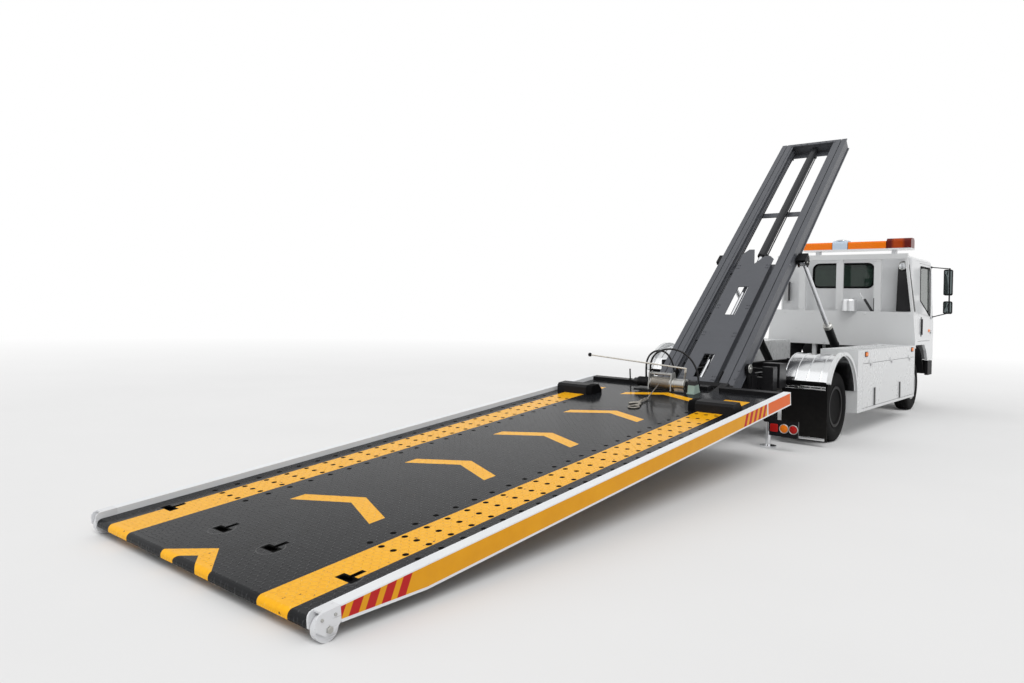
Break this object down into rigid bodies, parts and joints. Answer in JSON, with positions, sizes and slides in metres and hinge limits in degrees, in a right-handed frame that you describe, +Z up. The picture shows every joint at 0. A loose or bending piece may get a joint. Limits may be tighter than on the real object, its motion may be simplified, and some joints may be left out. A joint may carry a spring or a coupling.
{
  "type": "flatbed tow truck",
  "caption": "Two-axle cab-over tow truck with a tilting slide frame raised and its flat loading bed landed behind on tail rollers.",
  "frame": {"origin": "middle of the bounding box at ground level, with the bed landed", "axes": "+X forward towards the cab, +Y to the left side, +Z up"},
  "size_m": [12.4859, 2.58, 3.9789],
  "materials": {
    "white_paint": "gloss",
    "grey_paint": "satin",
    "black_paint": "satin",
    "deck_paint": "satin",
    "chrome": "polished",
    "cast": "matte",
    "steel": "satin",
    "tyre": "matte",
    "rubber": "matte",
    "glass": "gloss",
    "lens": "gloss",
    "plastic": "matte"
  },
  "bodies": {
    "chassis": {"chassis_frame": "black_paint", "hinge_stand": "black_paint", "front_axle": "cast", "rear_axle": "cast", "springs": "cast", "engine_block": "cast", "cab_shell": "white_paint", "cab_glass": "glass", "cab_inside": "plastic", "front_bumper": "black_paint", "lamps": "lens", "mirrors": "plastic", "headboard": "white_paint", "lockers": "white_paint", "mudguards": "steel"},
    "tilt_frame": {"tilt_beams": "grey_paint", "tilt_fittings": "black_paint", "slide_barrel": "grey_paint"},
    "slide_plate": {"slide_plate": "grey_paint", "slide_rod": "chrome"},
    "carriage": {"carriage": "black_paint"},
    "bed": {"deck_sheet": "deck_paint", "deck_rails": "white_paint", "deck_frame": "black_paint", "tail_shoes": "white_paint", "winch_frame": "steel", "hose_short": "rubber", "hose_long": "rubber"},
    "winch_drum": {"winch_drum": "steel"},
    "tail_roller_left": {"tail_roller_left": "cast"},
    "lift_barrel_left": {"lift_barrel_left": "black_paint"},
    "lift_rod_left": {"lift_rod_left": "chrome"},
    "leg_left": {"leg_left": "chrome"},
    "knuckle_left": {"knuckle_left": "cast"},
    "front_wheel_left": {"tyre_front_left": "tyre", "wheel_front_left": "steel"},
    "rear_wheels_left": {"tyres_rear_left": "tyre", "wheels_rear_left": "steel"},
    "cab_door_left": {"cab_door_left": "white_paint", "door_glass_left": "glass"},
    "locker_door_left": {"locker_door_left": "white_paint"},
    "tail_roller_right": {"tail_roller_right": "cast"},
    "lift_barrel_right": {"lift_barrel_right": "black_paint"},
    "lift_rod_right": {"lift_rod_right": "chrome"},
    "leg_right": {"leg_right": "chrome"},
    "knuckle_right": {"knuckle_right": "cast"},
    "front_wheel_right": {"tyre_front_right": "tyre", "wheel_front_right": "steel"},
    "rear_wheels_right": {"tyres_rear_right": "tyre", "wheels_rear_right": "steel"},
    "cab_door_right": {"cab_door_right": "white_paint", "door_glass_right": "glass"},
    "locker_door_right": {"locker_door_right": "white_paint"}
  },
  "joints": [
    {"name": "tilt", "type": "hinge", "parent": "chassis", "child": "tilt_frame", "pos_m": [-0.18232, 0, 0.86], "axis": [0, 1, 0], "range_deg": [0, 42]},
    {"name": "carriage_slide", "type": "slide", "parent": "tilt_frame", "child": "carriage", "axis": [0.7431, 0, 0.6691], "range_m": [0, 4.4]},
    {"name": "plate_slide", "type": "slide", "parent": "tilt_frame", "child": "slide_plate", "axis": [0.7431, 0, 0.6691], "range_m": [0, 2.2]},
    {"name": "bed_hinge", "type": "hinge", "parent": "carriage", "child": "bed", "pos_m": [-0.80421, 0, 0.60766], "axis": [0, -1, 0], "range_deg": [0, 36.05]},
    {"name": "winch_spin", "type": "hinge", "parent": "bed", "child": "winch_drum", "pos_m": [-1.06643, -0.035, 0.71206], "axis": [0, 1, 0], "continuous": true},
    {"name": "tail_roller_left_spin", "type": "hinge", "parent": "bed", "child": "tail_roller_left", "pos_m": [-6.17235, 1.12, 0.06], "axis": [0, 1, 0], "continuous": true},
    {"name": "lift_left_pivot", "type": "hinge", "parent": "chassis", "child": "lift_barrel_left", "pos_m": [3.34468, 0.52, 0.45], "axis": [0, -1, 0], "range_deg": [0, 27.39]},
    {"name": "lift_left_rod", "type": "slide", "parent": "lift_barrel_left", "child": "lift_rod_left", "axis": [-0.776, 0, 0.6307], "range_m": [-0.9982, 0]},
    {"name": "leg_left_lift", "type": "slide", "parent": "chassis", "child": "leg_left", "axis": [0, 0, 1], "range_m": [0, 0.25]},
    {"name": "steer_left", "type": "hinge", "parent": "chassis", "child": "knuckle_left", "pos_m": [5.18968, 0.64, 0.405], "axis": [0, 0, 1], "range_deg": [-32, 32]},
    {"name": "front_wheel_left_spin", "type": "hinge", "parent": "knuckle_left", "child": "front_wheel_left", "pos_m": [5.18968, 0.815, 0.405], "axis": [0, 1, 0], "continuous": true},
    {"name": "rear_wheels_left_spin", "type": "hinge", "parent": "chassis", "child": "rear_wheels_left", "pos_m": [1.01468, 0.936, 0.405], "axis": [0, 1, 0], "continuous": true},
    {"name": "cab_door_left", "type": "hinge", "parent": "chassis", "child": "cab_door_left", "pos_m": [6.00668, 1.01, 1.6], "axis": [0, 0, -1], "range_deg": [0, 65]},
    {"name": "locker_door_left", "type": "hinge", "parent": "chassis", "child": "locker_door_left", "pos_m": [2.87818, 1.1495, 0.885], "axis": [1, 0, 0], "range_deg": [0, 95]},
    {"name": "tail_roller_right_spin", "type": "hinge", "parent": "bed", "child": "tail_roller_right", "pos_m": [-6.17235, -1.12, 0.06], "axis": [0, 1, 0], "continuous": true},
    {"name": "lift_right_pivot", "type": "hinge", "parent": "chassis", "child": "lift_barrel_right", "pos_m": [3.34468, -0.52, 0.45], "axis": [0, -1, 0], "range_deg": [0, 27.39]},
    {"name": "lift_right_rod", "type": "slide", "parent": "lift_barrel_right", "child": "lift_rod_right", "axis": [-0.776, 0, 0.6307], "range_m": [-0.9982, 0]},
    {"name": "leg_right_lift", "type": "slide", "parent": "chassis", "child": "leg_right", "axis": [0, 0, 1], "range_m": [0, 0.25]},
    {"name": "steer_right", "type": "hinge", "parent": "chassis", "child": "knuckle_right", "pos_m": [5.18968, -0.64, 0.405], "axis": [0, 0, 1], "range_deg": [-32, 32]},
    {"name": "front_wheel_right_spin", "type": "hinge", "parent": "knuckle_right", "child": "front_wheel_right", "pos_m": [5.18968, -0.815, 0.405], "axis": [0, 1, 0], "continuous": true},
    {"name": "rear_wheels_right_spin", "type": "hinge", "parent": "chassis", "child": "rear_wheels_right", "pos_m": [1.01468, -0.936, 0.405], "axis": [0, 1, 0], "continuous": true},
    {"name": "cab_door_right", "type": "hinge", "parent": "chassis", "child": "cab_door_right", "pos_m": [6.00668, -1.01, 1.6], "axis": [0, 0, 1], "range_deg": [0, 65]},
    {"name": "locker_door_right", "type": "hinge", "parent": "chassis", "child": "locker_door_right", "pos_m": [2.87818, -1.1495, 0.885], "axis": [-1, 0, 0], "range_deg": [0, 95]}
  ],
  "couplings": [
    {"joint": "plate_slide", "follows": "carriage_slide", "ratio": 0.5},
    {"joint": "lift_left_pivot", "follows": "tilt", "ratio": 0.65094},
    {"joint": "lift_left_rod", "follows": "tilt", "m_per_rad": -1.3604},
    {"joint": "lift_right_pivot", "follows": "tilt", "ratio": 0.65094},
    {"joint": "lift_right_rod", "follows": "tilt", "m_per_rad": -1.3604},
    {"joint": "steer_left", "follows": "steer_right", "ratio": 1}
  ]
}
